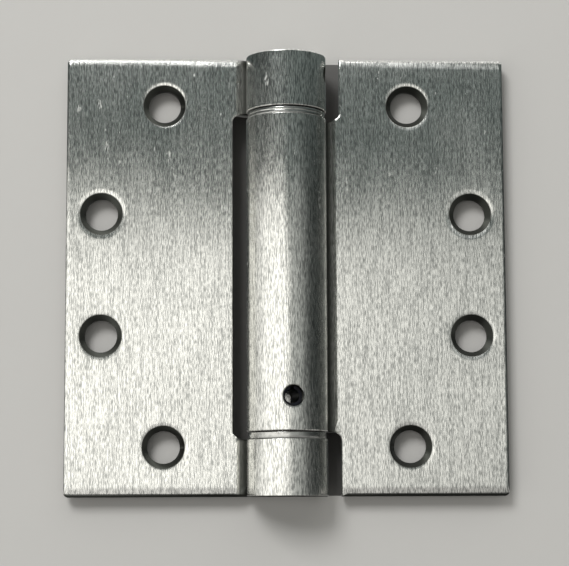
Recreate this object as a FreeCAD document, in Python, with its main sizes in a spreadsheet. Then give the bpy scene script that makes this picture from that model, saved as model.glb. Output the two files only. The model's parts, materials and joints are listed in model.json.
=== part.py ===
# Three-knuckle spring hinge, 4 1/2 in square, for a full mortise.
# Frame: +Z up along the turning axis, origin on that axis at mid height. The hinge is open flat, with the
# jamb leaf at -X, the door leaf at +X and the sunk sides of the screw holes towards -Y, the front.
# Every length is in millimetres, every angle in degrees.
import FreeCAD
import Part
import Sketcher
import math
import os
from types import SimpleNamespace

SHEET = "Sizes"

# Driving dimensions, in the order of the sheet's rows.
DIMENSIONS = {
    # the two leaves and the sheet that they are bent from
    "leaf_height": 114.3,
    "leaf_reach": 57.15,
    "sheet_thick": 3.4,
    "face_set": 0.8,
    "leaf_corner": 1.0,
    "edge_round": 0.45,
    # the rolled barrel and the slanted strip that leads into it
    "barrel_radius": 10.4,
    "strip_lead": 2.6,
    "seam_gap": 0.25,
    "knuckle_length": 14.7,
    "rim_bevel": 0.3,
    "notch_clear": 3.6,
    "notch_corner": 2.0,
    "cut_margin": 2.0,
    # screw holes, one row near the barrel and one near the free edge, each set in from that edge
    "screw_radius": 4.2,
    "sink_radius": 5.45,
    "sink_angle": 82.0,
    "inner_row_inset": 25.4,
    "inner_row_drop": 12.7,
    "outer_row_inset": 9.15,
    "outer_row_half": 15.875,
    # clearances
    "thrust_gap": 0.3,
    "running_fit": 0.05,
    "loose_fit": 0.3,
    "tang_clear": 0.15,
    "end_recess": 0.5,
    # washers between the knuckles
    "washer_stack": 1.5,
    "washer_inset": 0.4,
    "washer_round": 0.25,
    # adjusting hub in the top knuckle
    "bush_wall": 2.5,
    "spigot_step": 0.6,
    "spigot_length": 6.0,
    "key_flats": 6.35,
    "key_depth": 5.5,
    "lock_radius": 2.1,
    "lock_drop": 5.05,
    "lock_turn": 80.0,
    "lock_depth": 3.0,
    "lock_places": 6.0,
    "hub_chamfer": 0.6,
    # retaining ring on the hub
    "ring_thick": 0.9,
    "ring_clear": 0.8,
    "groove_depth": 0.45,
    "ring_mouth": 5.0,
    # bushes, anchor plug and the pins
    "upper_bush_length": 10.0,
    "lower_bush_length": 5.0,
    "plug_length": 13.15,
    "anchor_radius": 2.65,
    "anchor_rise": 8.75,
    "anchor_turn": 7.0,
    "anchor_wall": 0.8,
    "anchor_slit": 0.9,
    "anchor_short": 2.0,
    "anchor_head": 0.8,
    "pivot_pin_radius": 2.0,
    "pivot_pin_rise": 7.0,
    # torsion spring of rectangular wire, with as many whole turns as the pitch leaves room for
    "wire_width": 2.2,
    "wire_height": 2.6,
    "coil_clear": 0.5,
    "coil_pitch": 3.0,
}


class Size:
    """A length with its number and with the sheet expression that it comes from."""

    def __init__(self, number, text):
        self.number = number
        self.text = text

    def join(self, other, sign, number):
        return Size(number, f"({self.text} {sign} {other.text})")

    def __add__(self, other):
        return self.join(other, "+", self.number + other.number)

    def __sub__(self, other):
        return self.join(other, "-", self.number - other.number)

    def __mul__(self, factor):
        return Size(self.number * factor, f"({self.text} * {factor!r})")

    def __truediv__(self, divisor):
        return Size(self.number / divisor, f"({self.text} / {divisor!r})")

    def __neg__(self):
        return Size(-self.number, f"(-{self.text})")


def make_sheet(doc):
    """Fill the sheet, one named dimension per row, and return the named sizes."""
    sheet = doc.addObject("Spreadsheet::Sheet", SHEET)
    for row, (name, number) in enumerate(DIMENSIONS.items(), start=1):
        sheet.set(f"A{row}", name)
        sheet.set(f"B{row}", str(number))
        sheet.setAlias(f"B{row}", name)
    doc.recompute()
    return SimpleNamespace(**{name: Size(float(sheet.get(name)), f"{SHEET}.{name}") for name in DIMENSIONS})


doc = FreeCAD.newDocument("SpringHinge")
size = make_sheet(doc)

# Places and radii that follow from the driving dimensions.
on_axis = Size(0.0, "0")
leaf_half = size.leaf_height / 2
knuckle_end = leaf_half - size.knuckle_length
barrel_half = knuckle_end - size.washer_stack - size.thrust_gap
bore = size.barrel_radius - size.sheet_thick
strip_start = size.barrel_radius + size.strip_lead
notch_reach = size.barrel_radius + size.notch_clear
clear_of_barrel = size.barrel_radius + size.cut_margin
washer_radius = size.barrel_radius - size.washer_inset
journal_radius = bore - size.bush_wall
spigot_radius = journal_radius - size.spigot_step
coil_radius = bore - size.coil_clear - size.wire_width / 2
hub_top = leaf_half - size.end_recess
hub_radius = bore - size.running_fit
lock_height = leaf_half - size.lock_drop
upper_bush_end = barrel_half - size.upper_bush_length
ring_top = upper_bush_end - size.loose_fit
ring_bottom = ring_top - size.ring_thick
hub_end = ring_bottom - size.spigot_length
journal_bore = journal_radius + size.running_fit
plug_bottom = size.lower_bush_length - barrel_half
plug_top = plug_bottom + size.plug_length
plug_end = plug_top + size.spigot_length
anchor_height = size.anchor_rise - barrel_half
pivot_pin_height = size.pivot_pin_rise - leaf_half
spring_bottom = plug_top + size.loose_fit
spring_top = ring_bottom - size.loose_fit


def bind(feature, **sizes):
    """Bind properties of a feature to expressions of the sheet."""
    for name, value in sizes.items():
        feature.setExpression(name, value.text)


def origin_plane(body, role):
    return next(plane for plane in body.Origin.OriginFeatures if plane.Role == role)


def new_body(label):
    body = doc.addObject("PartDesign::Body", label)
    body.Label = label
    return body


def new_sketch(body, name, role, offset=None, turn=None):
    """Sketch on an origin plane, moved along its normal by offset or turned about the hinge axis by turn."""
    sketch = body.newObject("Sketcher::SketchObject", name)
    sketch.AttachmentSupport = (origin_plane(body, role), "")
    sketch.MapMode = "FlatFace"
    if offset:
        sketch.setExpression("AttachmentOffset.Base.z", offset.text)
    if turn:
        about_axis = FreeCAD.Rotation(FreeCAD.Vector(0, 1, 0), turn.number)
        sketch.AttachmentOffset = FreeCAD.Placement(FreeCAD.Vector(), about_axis)
        sketch.setExpression("AttachmentOffset.Rotation.Angle", f"{turn.text} * 1 deg")
    return sketch


def dimension(sketch, kind, *parts):
    """Add one constraint whose last part is a Size, bound to the sheet."""
    *geometry, value = parts
    index = sketch.addConstraint(Sketcher.Constraint(kind, *geometry, value.number))
    sketch.setExpression(f"Constraints[{index}]", value.text)


def place_point(sketch, line, end, across, along):
    """Fix one end of a sketch element, measured from the sketch's origin."""
    dimension(sketch, "DistanceX", -1, 1, line, end, across)
    dimension(sketch, "DistanceY", -1, 1, line, end, along)


def outline(sketch, corners):
    """Closed outline of straight lines through the corners, each a pair of sizes."""
    points = [FreeCAD.Vector(across.number, along.number, 0) for across, along in corners]
    ends = points[1:] + points[:1]
    lines = [sketch.addGeometry(Part.LineSegment(start, end)) for start, end in zip(points, ends)]
    for line, following in zip(lines, lines[1:] + lines[:1]):
        sketch.addConstraint(Sketcher.Constraint("Coincident", line, 2, following, 1))
    for line, (across, along) in zip(lines, corners):
        place_point(sketch, line, 1, across, along)


def rectangle(sketch, left, low, right, high):
    outline(sketch, [(left, low), (right, low), (right, high), (left, high)])


def rounded_rectangle(sketch, left, low, right, high, radius, rounded):
    """Rectangle with some corners rounded, numbered anticlockwise from the lower left one."""
    corners = [(left, low), (right, low), (right, high), (left, high)]
    points = [FreeCAD.Vector(across.number, along.number, 0) for across, along in corners]
    ways = [FreeCAD.Vector(*way, 0) for way in ((1, 0), (0, 1), (-1, 0), (0, -1))]
    trims = [radius.number if number in rounded else 0 for number in range(4)]
    lines = []
    for number, way in enumerate(ways):
        following = (number + 1) % 4
        start = points[number] + way * trims[number]
        end = points[following] - way * trims[following]
        lines.append(sketch.addGeometry(Part.LineSegment(start, end)))
        sketch.addConstraint(Sketcher.Constraint("Vertical" if number % 2 else "Horizontal", lines[number]))
    for number, line in enumerate(lines):
        before = lines[number - 1]
        if number not in rounded:
            sketch.addConstraint(Sketcher.Constraint("Coincident", before, 2, line, 1))
            continue
        centre = points[number] + (ways[number] - ways[number - 1]) * radius.number
        ring = Part.Circle(centre, FreeCAD.Vector(0, 0, 1), radius.number)
        start = math.pi * (1 + number / 2)
        arc = sketch.addGeometry(Part.ArcOfCircle(ring, start, start + math.pi / 2))
        sketch.addConstraint(Sketcher.Constraint("Tangent", before, 2, arc, 1))
        sketch.addConstraint(Sketcher.Constraint("Tangent", arc, 2, line, 1))
        dimension(sketch, "Radius", arc, radius)
    bottom, right_line, top, left_line = lines
    dimension(sketch, "DistanceY", -1, 1, bottom, 1, low)
    dimension(sketch, "DistanceX", -1, 1, right_line, 1, right)
    dimension(sketch, "DistanceY", -1, 1, top, 1, high)
    dimension(sketch, "DistanceX", -1, 1, left_line, 1, left)


def circle(sketch, across, along, radius):
    """Circle of a bound radius about a bound centre."""
    centre = FreeCAD.Vector(across.number, along.number, 0)
    index = sketch.addGeometry(Part.Circle(centre, FreeCAD.Vector(0, 0, 1), radius.number))
    dimension(sketch, "Radius", index, radius)
    place_point(sketch, index, 3, across, along)


def pad(body, sketch, name, length, both_ways=False, back=None):
    """Pad a sketch along its normal, evenly to both sides, or also by a second length to the back."""
    feature = body.newObject("PartDesign::Pad", name)
    feature.Profile = sketch
    bind(feature, Length=length)
    if both_ways:
        feature.SideType = "Symmetric"
    if back:
        feature.SideType = "Two sides"
        bind(feature, Length2=back)
    doc.recompute()
    return feature


def pocket(body, sketch, name, length=None, reverse=False):
    """Cut a sketch through everything on both sides, or to one side by a length. It has to cut something."""
    before = body.Shape.Volume
    feature = body.newObject("PartDesign::Pocket", name)
    feature.Profile = sketch
    if length:
        bind(feature, Length=length)
        feature.Reversed = reverse
    else:
        feature.Type = "ThroughAll"
        feature.SideType = "Symmetric"
    doc.recompute()
    if body.Shape.Volume >= before:
        raise RuntimeError(f"{body.Label}: {name} cuts nothing")
    return feature


def turn(body, corners):
    """Solid of revolution about the hinge axis; the corners are pairs of radius and height."""
    sketch = new_sketch(body, f"{body.Label}_section", "XZ_Plane")
    outline(sketch, corners)
    feature = body.newObject("PartDesign::Revolution", f"{body.Label}_turned")
    feature.Profile = sketch
    feature.ReferenceAxis = (sketch, ["V_Axis"])
    doc.recompute()
    return feature


def dress(body, kind, name, radius, chosen):
    """Fillet or chamfer the edges of the body that a test picks out."""
    base = body.Tip
    names = [f"Edge{number}" for number, edge in enumerate(base.Shape.Edges, start=1) if chosen(edge)]
    if not names:
        raise RuntimeError(f"{body.Label}: {name} finds no edge")
    feature = body.newObject(f"PartDesign::{kind}", name)
    feature.Base = (base, names)
    bind(feature, **{"Radius" if kind == "Fillet" else "Size": radius})
    doc.recompute()
    if not body.Shape.isValid():
        raise RuntimeError(f"{body.Label}: {name} spoils the solid")
    return feature


def near(first, second):
    return abs(first - second) < 1e-4


def middle(edge):
    return edge.valueAt((edge.FirstParameter + edge.LastParameter) / 2)


def is_straight(edge, axis):
    """True for a straight edge along one axis, given as 0, 1 or 2."""
    if not isinstance(edge.Curve, Part.Line):
        return False
    return near(abs(edge.Curve.Direction[axis]), 1)


def is_ring(edge, radius, height):
    """True for a round edge about the hinge axis with that radius and height."""
    if not isinstance(edge.Curve, Part.Circle):
        return False
    centre = edge.Curve.Center
    centred = near(math.hypot(centre.x, centre.y), 0)
    return centred and near(edge.Curve.Radius, radius.number) and near(centre.z, height.number)


def rolled_section(sketch, side):
    """Section of a leaf across the axis, for the leaf at side * X.

    The flat front face leaves at strip_start and slants back until it is tangent to the bore. The sheet goes
    on round the back and the front of the axis, as a ring, and ends square, one seam gap short of the strip.
    """
    reach = math.hypot(strip_start.number, size.face_set.number)
    rise = math.atan2(size.face_set.number, strip_start.number)
    tangent = rise + math.acos(bore.number / reach)
    tip = tangent - math.acos((bore.number - size.seam_gap.number) / size.barrel_radius.number)
    face = size.face_set.number
    back = face + size.sheet_thick.number
    outer = size.barrel_radius.number

    def point(across, along):
        return FreeCAD.Vector(side * across, along, 0)

    def polar(radius, angle):
        return point(radius * math.cos(angle), radius * math.sin(angle))

    def arc(radius):
        ring = Part.Circle(FreeCAD.Vector(), FreeCAD.Vector(0, 0, 1), radius)
        if side > 0:
            return Part.ArcOfCircle(ring, tangent, tip + 2 * math.pi)
        return Part.ArcOfCircle(ring, math.pi - tip, 3 * math.pi - tangent)

    root, end = (1, 2) if side > 0 else (2, 1)
    slant = (outer * math.sin(tangent) - back) / math.cos(tangent)
    foot = outer * math.cos(tangent) + slant * math.sin(tangent)
    edge_front = point(size.leaf_reach.number, face)
    edge_back = point(size.leaf_reach.number, back)
    crease_front = point(strip_start.number, face)
    crease_back = point(foot, back)
    front, strip, back_strip, back_face, edge, tip_face = (
        sketch.addGeometry(Part.LineSegment(first, second))
        for first, second in (
            (edge_front, crease_front),
            (crease_front, polar(bore.number, tangent)),
            (polar(outer, tangent), crease_back),
            (crease_back, edge_back),
            (edge_back, edge_front),
            (polar(bore.number, tip), polar(outer, tip)),
        )
    )
    inner_arc = sketch.addGeometry(arc(bore.number))
    outer_arc = sketch.addGeometry(arc(outer))
    ties = [
        ("Coincident", front, 2, strip, 1),
        ("Tangent", strip, 2, inner_arc, root),
        ("Coincident", inner_arc, end, tip_face, 1),
        ("Coincident", tip_face, 2, outer_arc, end),
        ("Tangent", outer_arc, root, back_strip, 1),
        ("Coincident", back_strip, 2, back_face, 1),
        ("Coincident", back_face, 2, edge, 1),
        ("Coincident", edge, 2, front, 1),
        ("Coincident", inner_arc, 3, -1, 1),
        ("Coincident", outer_arc, 3, -1, 1),
        ("Horizontal", front),
        ("Horizontal", back_face),
        ("Vertical", edge),
        ("Parallel", strip, back_strip),
        ("PointOnObject", -1, 1, tip_face),
    ]
    for tie in ties:
        sketch.addConstraint(Sketcher.Constraint(*tie))
    dimension(sketch, "Radius", inner_arc, bore)
    dimension(sketch, "Radius", outer_arc, size.barrel_radius)
    dimension(sketch, "Distance", tip_face, 2, strip, size.seam_gap)
    dimension(sketch, "DistanceY", -1, 1, front, 1, size.face_set)
    dimension(sketch, "DistanceY", edge, 2, edge, 1, size.sheet_thick)
    dimension(sketch, "DistanceX", -1, 1, front, 1, size.leaf_reach if side > 0 else -size.leaf_reach)
    dimension(sketch, "DistanceX", -1, 1, strip, 1, strip_start if side > 0 else -strip_start)


def screw_holes(body, side):
    """Four countersunk screw holes, sunk from the front face."""
    sketch = new_sketch(body, f"{body.Label}_screws", "XZ_Plane", offset=-size.face_set)
    rows = [
        (size.leaf_reach - size.inner_row_inset, leaf_half - size.inner_row_drop),
        (size.leaf_reach - size.outer_row_inset, size.outer_row_half),
    ]
    for reach, half in rows:
        for height in (half, -half):
            circle(sketch, reach if side > 0 else -reach, height, size.screw_radius)
    doc.recompute()
    before = body.Shape.Volume
    hole = body.newObject("PartDesign::Hole", f"{body.Label}_holes")
    hole.Profile = sketch
    hole.DepthType = "ThroughAll"
    hole.HoleCutType = "Countersink"
    hole.HoleCutCustomValues = True
    bind(hole, Diameter=size.screw_radius * 2, HoleCutDiameter=size.sink_radius * 2)
    hole.setExpression("HoleCutCountersinkAngle", f"{size.sink_angle.text} * 1 deg")
    doc.recompute()
    if body.Shape.Volume >= before:
        raise RuntimeError(f"{body.Label}: the screw holes cut nothing")


def leaf_blank(label, side):
    """Bent sheet over the full height, with rounded corners at its free edge."""
    body = new_body(label)
    sketch = new_sketch(body, f"{label}_section", "XY_Plane")
    rolled_section(sketch, side)
    pad(body, sketch, f"{label}_sheet", size.leaf_height, both_ways=True)
    free_edge = side * size.leaf_reach.number
    dress(body, "Fillet", f"{label}_corners", size.leaf_corner,
          lambda edge: is_straight(edge, 1) and near(middle(edge).x, free_edge))
    return body


def round_edges(body, side):
    """Round the free edges of a leaf, at its ends and far from the barrel, on both faces."""
    free_edge = side * size.leaf_reach.number

    def at_end(edge):
        return all(near(abs(vertex.Z), leaf_half.number) for vertex in edge.Vertexes)

    def chosen(edge):
        if isinstance(edge.Curve, Part.Circle) and not at_end(edge):
            return near(edge.Curve.Radius, size.leaf_corner.number)
        if at_end(edge):
            in_bore = is_ring(edge, bore, leaf_half) or is_ring(edge, bore, -leaf_half)
            return not in_bore and not is_straight(edge, 1) and not is_straight(edge, 2)
        return is_straight(edge, 2) and near(middle(edge).x, free_edge)

    dress(body, "Fillet", f"{body.Label}_edges", size.edge_round, chosen)


def bevel_rims(body, height):
    """Bevel the round rims that face the washers, above and below."""
    outer = size.barrel_radius
    dress(body, "Chamfer", f"{body.Label}_rims", size.rim_bevel,
          lambda edge: is_ring(edge, outer, height) or is_ring(edge, outer, -height))


def make_jamb_leaf():
    """Leaf with the top and bottom knuckles, the lock hole above and the pivot pin's hole below."""
    body = leaf_blank("jamb_leaf", -1)
    notch = new_sketch(body, "jamb_leaf_notch", "XZ_Plane")
    rounded_rectangle(notch, -notch_reach, -knuckle_end, clear_of_barrel, knuckle_end,
                      size.notch_corner, rounded=(0, 3))
    pocket(body, notch, "jamb_leaf_notch_cut")
    screw_holes(body, -1)
    lock = new_sketch(body, "jamb_leaf_lock", "XZ_Plane", turn=size.lock_turn)
    circle(lock, on_axis, lock_height, size.lock_radius)
    pocket(body, lock, "jamb_leaf_lock_hole", clear_of_barrel, reverse=True)
    pin = new_sketch(body, "jamb_leaf_pin", "XZ_Plane")
    circle(pin, on_axis, pivot_pin_height, size.pivot_pin_radius)
    pocket(body, pin, "jamb_leaf_pin_hole", clear_of_barrel)
    round_edges(body, -1)
    bevel_rims(body, knuckle_end)
    return body


def make_door_leaf():
    """Leaf with the long middle barrel, which has the anchor pin's hole near its lower end."""
    body = leaf_blank("door_leaf", 1)
    notches = new_sketch(body, "door_leaf_notches", "XZ_Plane")
    beyond = leaf_half + size.cut_margin
    rounded_rectangle(notches, -clear_of_barrel, barrel_half, notch_reach, beyond,
                      size.notch_corner, rounded=(1,))
    rounded_rectangle(notches, -clear_of_barrel, -beyond, notch_reach, -barrel_half,
                      size.notch_corner, rounded=(2,))
    pocket(body, notches, "door_leaf_notch_cuts")
    screw_holes(body, 1)
    anchor = new_sketch(body, "door_leaf_anchor", "XZ_Plane", turn=size.anchor_turn)
    circle(anchor, on_axis, anchor_height, size.anchor_radius)
    pocket(body, anchor, "door_leaf_anchor_hole", clear_of_barrel, reverse=True)
    round_edges(body, 1)
    bevel_rims(body, barrel_half)
    return body


def ring_body(label, inner, outer, low, high):
    """Plain ring about the hinge axis."""
    body = new_body(label)
    turn(body, [(inner, low), (outer, low), (outer, high), (inner, high)])
    return body


def make_washers():
    """One thick washer on the bottom knuckle and two thin ones on the middle barrel."""
    half_stack = size.washer_stack / 2
    upper_middle = barrel_half + half_stack
    hub_hole = journal_radius + size.loose_fit
    washers = [
        ring_body("lower_washer", hub_hole, washer_radius, -knuckle_end, size.washer_stack - knuckle_end),
        ring_body("upper_washer_plain", hub_hole, washer_radius, barrel_half, upper_middle),
        ring_body("upper_washer_slip", hub_hole, washer_radius, upper_middle, upper_middle + half_stack),
    ]

    def on_outside(edge):
        return isinstance(edge.Curve, Part.Circle) and near(edge.Curve.Radius, washer_radius.number)

    for washer in washers:
        dress(washer, "Fillet", f"{washer.Label}_rims", size.washer_round, on_outside)
    return washers


def tang_slot(body, low, high):
    """Slot across a spigot for the bent-in end of the spring."""
    sketch = new_sketch(body, f"{body.Label}_slot", "YZ_Plane")
    half = size.wire_width / 2 + size.tang_clear
    rectangle(sketch, -half, low, half, high)
    pocket(body, sketch, f"{body.Label}_slot_cut")


def make_hub():
    """Adjusting hub: a drum in the top knuckle, a journal in the upper bush and a slotted spigot below."""
    body = new_body("adjusting_hub")
    groove = journal_radius - size.groove_depth
    turn(body, [
        (on_axis, hub_end),
        (spigot_radius, hub_end),
        (spigot_radius, ring_bottom),
        (groove, ring_bottom),
        (groove, ring_top),
        (journal_radius, ring_top),
        (journal_radius, knuckle_end),
        (hub_radius, knuckle_end),
        (hub_radius, hub_top),
        (on_axis, hub_top),
    ])
    dress(body, "Chamfer", "adjusting_hub_rim", size.hub_chamfer,
          lambda edge: is_ring(edge, hub_radius, hub_top))
    key = new_sketch(body, "adjusting_hub_key", "XY_Plane", offset=hub_top)
    key_corner = size.key_flats / math.sqrt(3)
    first = math.radians(size.lock_turn.number - 60)
    angles = [first + math.radians(60) * step for step in range(6)]
    outline(key, [(key_corner * math.cos(angle), key_corner * math.sin(angle)) for angle in angles])
    pocket(body, key, "adjusting_hub_key_socket", size.key_depth)
    tang_slot(body, hub_end, spring_top + size.tang_clear)
    lock = new_sketch(body, "adjusting_hub_lock", "XZ_Plane", turn=size.lock_turn)
    floor = hub_radius - size.lock_depth
    lock.setExpression("AttachmentOffset.Base.x", f"{floor.text} * sin({size.lock_turn.text})")
    lock.setExpression("AttachmentOffset.Base.z", f"{floor.text} * cos({size.lock_turn.text})")
    circle(lock, on_axis, lock_height, size.lock_radius)
    bore_cut = pocket(body, lock, "adjusting_hub_lock_bore", size.lock_depth + size.cut_margin, reverse=True)
    pattern = body.newObject("PartDesign::PolarPattern", "adjusting_hub_lock_bores")
    pattern.Originals = [bore_cut]
    pattern.Axis = (origin_plane(body, "Z_Axis"), [""])
    pattern.setExpression("Occurrences", size.lock_places.text)
    body.Tip = pattern
    doc.recompute()
    return body


def make_retaining_ring():
    """Open ring snapped into the hub's groove, below the upper bush."""
    body = new_body("hub_retaining_ring")
    sketch = new_sketch(body, "hub_retaining_ring_face", "XY_Plane", offset=ring_bottom)
    circle(sketch, on_axis, on_axis, bore - size.ring_clear)
    circle(sketch, on_axis, on_axis, journal_radius - size.groove_depth)
    pad(body, sketch, "hub_retaining_ring_plate", size.ring_thick)
    mouth = new_sketch(body, "hub_retaining_ring_mouth", "XY_Plane", offset=ring_bottom)
    half = size.ring_mouth / 2
    rectangle(mouth, -half, -clear_of_barrel, half, on_axis)
    pocket(body, mouth, "hub_retaining_ring_mouth_cut")
    return body


def make_bushes():
    """Two bushes pressed into the middle barrel, for the hub's journal and for the bottom pivot."""
    return [
        ring_body("upper_bush", journal_bore, bore, upper_bush_end, barrel_half),
        ring_body("lower_bush", journal_bore, bore, -barrel_half, plug_bottom),
    ]


def make_pivot():
    """Bottom pivot: a plug pressed into the bottom knuckle, with a spindle up into the lower bush."""
    body = new_body("bottom_pivot")
    spindle_top = plug_bottom - size.loose_fit
    turn(body, [
        (on_axis, size.end_recess - leaf_half),
        (bore, size.end_recess - leaf_half),
        (bore, -knuckle_end),
        (journal_radius, -knuckle_end),
        (journal_radius, spindle_top),
        (on_axis, spindle_top),
    ])
    dress(body, "Chamfer", "bottom_pivot_rim", size.hub_chamfer,
          lambda edge: is_ring(edge, bore, size.end_recess - leaf_half)
          or is_ring(edge, journal_radius, spindle_top))
    sketch = new_sketch(body, "bottom_pivot_pin", "XZ_Plane")
    circle(sketch, on_axis, pivot_pin_height, size.pivot_pin_radius)
    pocket(body, sketch, "bottom_pivot_pin_hole", clear_of_barrel)
    return body


def make_pivot_pin():
    """Plain pin through the back of the bottom knuckle into the pivot."""
    body = new_body("pivot_lock_pin")
    sketch = new_sketch(body, "pivot_lock_pin_face", "XZ_Plane")
    circle(sketch, on_axis, pivot_pin_height, size.pivot_pin_radius)
    feature = pad(body, sketch, "pivot_lock_pin_rod", size.barrel_radius - size.end_recess)
    feature.Reversed = True
    doc.recompute()
    return body


def make_anchor_plug():
    """Plug pinned into the middle barrel, whose slotted spigot holds the lower end of the spring."""
    body = new_body("anchor_plug")
    turn(body, [
        (on_axis, plug_bottom),
        (bore, plug_bottom),
        (bore, plug_top),
        (spigot_radius, plug_top),
        (spigot_radius, plug_end),
        (on_axis, plug_end),
    ])
    tang_slot(body, spring_bottom - size.tang_clear, plug_end)
    sketch = new_sketch(body, "anchor_plug_pin", "XZ_Plane", turn=size.anchor_turn)
    circle(sketch, on_axis, anchor_height, size.anchor_radius)
    pocket(body, sketch, "anchor_plug_pin_hole")
    return body


def make_anchor_pin():
    """Slit tube pin across the plug, with its outer end sunk in the barrel's front hole."""
    body = new_body("anchor_pin")
    sketch = new_sketch(body, "anchor_pin_face", "XZ_Plane", turn=size.anchor_turn)
    circle(sketch, on_axis, anchor_height, size.anchor_radius)
    circle(sketch, on_axis, anchor_height, size.anchor_radius - size.anchor_wall)
    pad(body, sketch, "anchor_pin_tube", bore + size.anchor_head, back=bore - size.anchor_short)
    slit = new_sketch(body, "anchor_pin_slit", "XZ_Plane", turn=size.anchor_turn)
    half = size.anchor_slit / 2
    rectangle(slit, -half, anchor_height, half, anchor_height + size.anchor_radius + size.cut_margin)
    pocket(body, slit, "anchor_pin_slit_cut")
    return body


def make_spring():
    """Torsion spring: a rectangular wire wound left-handed, with both ends bent in across the axis.

    Turning the hub against the closing sense of the door leaf winds the coils tighter.
    """
    body = new_body("torsion_spring")
    half_width = size.wire_width / 2
    inside = coil_radius - half_width
    outside = coil_radius + half_width
    section = new_sketch(body, "torsion_spring_wire", "XZ_Plane")
    rectangle(section, inside, spring_bottom, outside, spring_bottom + size.wire_height)
    doc.recompute()
    helix = body.newObject("PartDesign::AdditiveHelix", "torsion_spring_coil")
    helix.Profile = section
    helix.ReferenceAxis = (section, ["V_Axis"])
    helix.Mode = "height-turns-angle"
    helix.LeftHanded = True
    rise = spring_top - spring_bottom - size.wire_height
    bind(helix, Height=rise)
    helix.setExpression("Turns", f"floor({rise.text} / {size.coil_pitch.text})")
    doc.recompute()
    ends = {"lower": spring_bottom, "upper": spring_top - size.wire_height}
    for name, height in ends.items():
        tang = new_sketch(body, f"torsion_spring_{name}", "YZ_Plane")
        rectangle(tang, -half_width, height, half_width, height + size.wire_height)
        pad(body, tang, f"torsion_spring_{name}_tang", coil_radius, back=spigot_radius)
    return body


def check(bodies):
    """Stop if any object failed to compute or any sub-part is not one valid solid."""
    failed = [item.Name for item in doc.Objects if "Invalid" in item.State or "Error" in item.State]
    if failed:
        raise RuntimeError(f"failed objects: {failed}")
    for body in bodies:
        shape = body.Shape
        if shape.isNull() or not shape.isValid() or len(shape.Solids) != 1:
            raise RuntimeError(f"{body.Label} is not one valid solid")


def main():
    bodies = [make_jamb_leaf(), make_door_leaf(), make_hub(), make_retaining_ring(), make_pivot()]
    bodies += [make_pivot_pin(), make_anchor_plug(), make_anchor_pin(), make_spring()]
    bodies += make_bushes() + make_washers()
    doc.recompute()
    check(bodies)
    os.makedirs("parts", exist_ok=True)
    for body in bodies:
        body.Shape.exportStep(f"parts/{body.Label}.step")
        print(f"{body.Label}: {body.Shape.Volume:.1f} mm3")


main()
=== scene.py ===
"""Spring hinge: leaves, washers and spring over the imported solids, with their finishes and a stage."""

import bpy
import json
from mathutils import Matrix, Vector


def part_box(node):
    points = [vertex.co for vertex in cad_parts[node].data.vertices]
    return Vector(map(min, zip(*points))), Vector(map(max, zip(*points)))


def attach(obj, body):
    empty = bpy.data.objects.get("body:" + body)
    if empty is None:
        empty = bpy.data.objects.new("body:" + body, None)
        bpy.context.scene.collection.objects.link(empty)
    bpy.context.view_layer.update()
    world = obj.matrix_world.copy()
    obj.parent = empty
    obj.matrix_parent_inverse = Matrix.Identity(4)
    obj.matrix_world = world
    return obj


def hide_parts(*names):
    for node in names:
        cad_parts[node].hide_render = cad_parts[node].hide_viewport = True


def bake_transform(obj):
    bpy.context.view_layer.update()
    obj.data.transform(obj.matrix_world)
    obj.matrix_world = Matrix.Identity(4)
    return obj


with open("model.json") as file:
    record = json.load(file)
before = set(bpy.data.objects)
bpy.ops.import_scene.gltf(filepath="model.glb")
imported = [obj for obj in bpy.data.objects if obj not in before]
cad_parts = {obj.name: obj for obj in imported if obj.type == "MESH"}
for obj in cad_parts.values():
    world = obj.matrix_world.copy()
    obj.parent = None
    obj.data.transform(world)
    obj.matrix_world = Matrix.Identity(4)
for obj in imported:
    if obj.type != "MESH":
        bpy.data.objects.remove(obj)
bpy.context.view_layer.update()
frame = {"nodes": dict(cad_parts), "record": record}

import json
import math

import bmesh
import bpy
import numpy as np
from bpy.props import FloatProperty, FloatVectorProperty, IntProperty, PointerProperty
from mathutils import Matrix
from mathutils.geometry import delaunay_2d_cdt

bl_info = {
    "name": "Spring hinge",
    "version": (1, 0, 0),
    "blender": (4, 5, 0),
    "location": "View3D > Sidebar > Hinge",
    "description": "Leaves, washers and spring of a spring hinge, with their finishes and a stage",
    "category": "Object",
}

MM = 0.001
PHOTO_WIDTH = 569

# Small lengths of a sheet: places nearer than this are one, deeper walls get painted shade and are dull, and
# a hole's bevel.
TOUCH = 0.01 * MM
DULL_DEPTH = 0.06 * MM
BEVEL = 0.2 * MM

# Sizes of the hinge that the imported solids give, in metres.
leaf_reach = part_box("door_leaf")[1].x
leaf_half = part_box("door_leaf")[1].z
barrel_radius = -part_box("door_leaf")[0].y
bore_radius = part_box("upper_bush")[1].x
barrel_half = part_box("upper_washer_plain")[0].z
knuckle_end = -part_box("lower_washer")[0].z
sheet_thick = barrel_radius - bore_radius
mounts = {mount["name"]: mount for mount in frame["record"]["mounts"]}
back_face = mounts["door_back_face"]["pos_m"][1]

# Heights of the rims that are darkened: at the washers, and at the bottom, where the darkening is painted
# shade.
darkened_rims = np.array([barrel_half, -knuckle_end, -leaf_half])


# Properties that a user may change.

def length(name, description, millimetres):
    """Property for one length, given in millimetres and kept in metres."""
    return FloatProperty(name=name, description=description, default=millimetres * MM, min=0.0,
                         precision=5, unit="LENGTH")


def angle(name, description, degrees):
    return FloatProperty(name=name, description=description, default=math.radians(degrees), unit="ROTATION")


def share(name, description, default):
    return FloatProperty(name=name, description=description, default=default, min=0.0, max=1.0,
                         subtype="FACTOR")


def colour(name, description, default):
    return FloatVectorProperty(name=name, description=description, default=default, size=3, min=0.0, max=4.0,
                               subtype="COLOR")


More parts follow.
